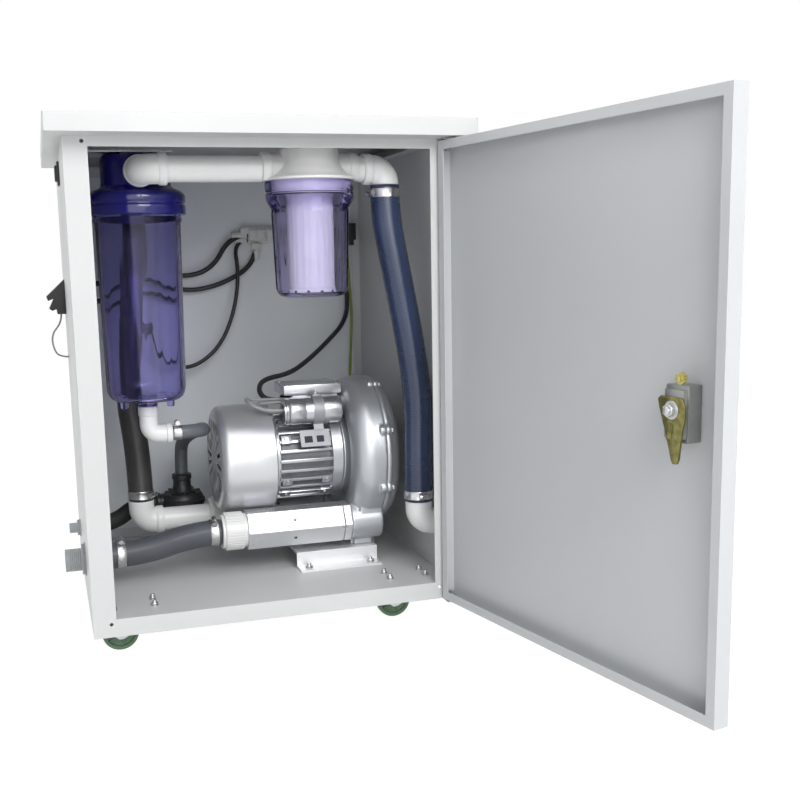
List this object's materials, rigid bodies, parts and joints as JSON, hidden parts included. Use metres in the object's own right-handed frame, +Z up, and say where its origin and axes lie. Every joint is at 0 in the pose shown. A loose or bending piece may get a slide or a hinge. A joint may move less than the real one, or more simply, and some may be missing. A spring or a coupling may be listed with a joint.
{
  "type": "dental suction unit",
  "caption": "Mobile sheet-metal cabinet with hinged door holding a side-channel blower, water separator, filter, pipes, hoses and wiring for dental suction.",
  "frame": {"origin": "middle of the bounding box at floor level, with the door stored open", "axes": "+X to the right as seen from the front, +Y from the front to the back, +Z up"},
  "size_m": [0.5804, 0.8768, 0.6409],
  "materials": {
    "back_panel": "textured powder coat",
    "cable_glands": "matte",
    "capacitor_strap": "zinc plated",
    "carcass": "textured powder coat",
    "caster_fork_front_left": "zinc plated",
    "caster_fork_front_right": "zinc plated",
    "caster_fork_rear_left": "zinc plated",
    "caster_fork_rear_right": "zinc plated",
    "caster_plates": "zinc plated",
    "caster_wheel_front_left": "moulded",
    "caster_wheel_front_right": "moulded",
    "caster_wheel_rear_left": "moulded",
    "caster_wheel_rear_right": "moulded",
    "cooling_fan": "matte",
    "coupling_rings": "satin",
    "door_panel": "textured powder coat",
    "drain_elbow": "satin",
    "drain_hose": "satin flexible plastic",
    "drain_outlet_elbow": "matte",
    "drain_stub": "satin",
    "drain_valve": "matte",
    "earth_wire": "satin",
    "exhaust_hose": "satin flexible plastic",
    "exhaust_stub": "satin",
    "fan_cowl": "satin",
    "filter_bowl": "tinted moulded plastic",
    "filter_cap": "moulded",
    "filter_cartridge": "matte",
    "filter_seal": "matte",
    "floor_bolts": "zinc plated",
    "hinge_brackets": "zinc plated",
    "hose_clamps": "stainless",
    "housing_brackets": "zinc plated",
    "impeller": "machined",
    "lid": "textured powder coat",
    "lock_barrel": "polished",
    "lock_body": "die cast",
    "lock_cam": "yellow passivated zinc",
    "motor_cables": "matte",
    "motor_shaft": "ground",
    "motor_stator": "die cast",
    "mounting_foot": "satin",
    "panel_cables": "matte",
    "panel_screws": "zinc plated",
    "port_silencers": "extruded",
    "pvc_elbows": "satin",
    "pvc_pipes": "satin",
    "return_hose": "satin flexible plastic",
    "ring_casing": "sand cast",
    "ring_cover": "sand cast",
    "run_capacitor": "drawn can",
    "separator_bowl": "tinted moulded plastic",
    "separator_head": "satin moulded",
    "separator_seal": "matte",
    "shaft_bearings": "polished",
    "side_fittings": "matte",
    "suction_hose": "satin flexible plastic",
    "suction_port": "satin",
    "terminal_box": "satin",
    "terminal_strip": "matte"
  },
  "bodies": {
    "cabinet": {"back_panel": "back_panel", "cable_glands": "cable_glands", "capacitor_strap": "capacitor_strap", "carcass": "carcass", "caster_plates": "caster_plates", "coupling_rings": "coupling_rings", "drain_elbow": "drain_elbow", "drain_hose": "drain_hose", "drain_outlet_elbow": "drain_outlet_elbow", "drain_stub": "drain_stub", "drain_valve": "drain_valve", "earth_wire": "earth_wire", "exhaust_hose": "exhaust_hose", "exhaust_stub": "exhaust_stub", "fan_cowl": "fan_cowl", "filter_cap": "filter_cap", "floor_bolts": "floor_bolts", "hinge_brackets": "hinge_brackets", "hose_clamps": "hose_clamps", "housing_brackets": "housing_brackets", "lid": "lid", "motor_cables": "motor_cables", "motor_stator": "motor_stator", "mounting_foot": "mounting_foot", "panel_cables": "panel_cables", "panel_screws": "panel_screws", "port_silencers": "port_silencers", "pvc_elbows": "pvc_elbows", "pvc_pipes": "pvc_pipes", "return_hose": "return_hose", "ring_casing": "ring_casing", "ring_cover": "ring_cover", "run_capacitor": "run_capacitor", "separator_bowl": "separator_bowl", "separator_head": "separator_head", "separator_seal": "separator_seal", "shaft_bearings": "shaft_bearings", "side_fittings": "side_fittings", "suction_hose": "suction_hose", "suction_port": "suction_port", "terminal_box": "terminal_box", "terminal_strip": "terminal_strip"},
    "door": {"door_panel": "door_panel", "lock_body": "lock_body"},
    "lock": {"lock_barrel": "lock_barrel", "lock_cam": "lock_cam"},
    "swivel_front_left": {"caster_fork_front_left": "caster_fork_front_left"},
    "wheel_front_left": {"caster_wheel_front_left": "caster_wheel_front_left"},
    "swivel_front_right": {"caster_fork_front_right": "caster_fork_front_right"},
    "wheel_front_right": {"caster_wheel_front_right": "caster_wheel_front_right"},
    "swivel_rear_left": {"caster_fork_rear_left": "caster_fork_rear_left"},
    "wheel_rear_left": {"caster_wheel_rear_left": "caster_wheel_rear_left"},
    "swivel_rear_right": {"caster_fork_rear_right": "caster_fork_rear_right"},
    "wheel_rear_right": {"caster_wheel_rear_right": "caster_wheel_rear_right"},
    "rotor": {"impeller": "impeller", "motor_shaft": "motor_shaft", "cooling_fan": "cooling_fan"},
    "cartridge_carrier": {"filter_cartridge": "filter_cartridge", "filter_seal": "filter_seal"},
    "filter_cup": {"filter_bowl": "filter_bowl"}
  },
  "joints": [
    {"name": "door_hinge", "type": "hinge", "parent": "cabinet", "child": "door", "pos_m": [0.19083, 0.00824, 0.3239], "axis": [0, 0, 1], "range_deg": [-101.5, 15]},
    {"name": "lock_turn", "type": "hinge", "parent": "door", "child": "lock", "pos_m": [0.27038, -0.38275, 0.3309], "axis": [-0.9799, -0.1994, 0], "range_deg": [0, 90]},
    {"name": "swivel_front_left", "type": "hinge", "parent": "cabinet", "child": "swivel_front_left", "pos_m": [-0.21217, 0.07244, 0.0479], "axis": [0, 0, 1], "continuous": true},
    {"name": "roll_front_left", "type": "hinge", "parent": "swivel_front_left", "child": "wheel_front_left", "pos_m": [-0.23017, 0.07244, 0.023], "axis": [0, 1, 0], "continuous": true},
    {"name": "swivel_front_right", "type": "hinge", "parent": "cabinet", "child": "swivel_front_right", "pos_m": [0.14783, 0.07244, 0.0479], "axis": [0, 0, 1], "continuous": true},
    {"name": "roll_front_right", "type": "hinge", "parent": "swivel_front_right", "child": "wheel_front_right", "pos_m": [0.12983, 0.07244, 0.023], "axis": [0, 1, 0], "continuous": true},
    {"name": "swivel_rear_left", "type": "hinge", "parent": "cabinet", "child": "swivel_rear_left", "pos_m": [-0.21217, 0.36844, 0.0479], "axis": [0, 0, 1], "continuous": true},
    {"name": "roll_rear_left", "type": "hinge", "parent": "swivel_rear_left", "child": "wheel_rear_left", "pos_m": [-0.23017, 0.36844, 0.023], "axis": [0, 1, 0], "continuous": true},
    {"name": "swivel_rear_right", "type": "hinge", "parent": "cabinet", "child": "swivel_rear_right", "pos_m": [0.14783, 0.36844, 0.0479], "axis": [0, 0, 1], "continuous": true},
    {"name": "roll_rear_right", "type": "hinge", "parent": "swivel_rear_right", "child": "wheel_rear_right", "pos_m": [0.12983, 0.36844, 0.023], "axis": [0, 1, 0], "continuous": true},
    {"name": "rotor_spin", "type": "hinge", "parent": "cabinet", "child": "rotor", "pos_m": [0.09583, 0.21644, 0.2059], "axis": [1, 0, 0], "continuous": true},
    {"name": "cup_lowering", "type": "slide", "parent": "cabinet", "child": "cartridge_carrier", "axis": [0, 0, -1], "range_m": [0, 0.009]},
    {"name": "cup_unscrewing", "type": "hinge", "parent": "cartridge_carrier", "child": "filter_cup", "pos_m": [0.03583, 0.09044, 0.5749], "axis": [0, 0, -1], "range_deg": [0, 901]}
  ],
  "couplings": [
    {"joint": "cup_unscrewing", "follows": "cup_lowering", "rad_per_m": 1745.3}
  ]
}
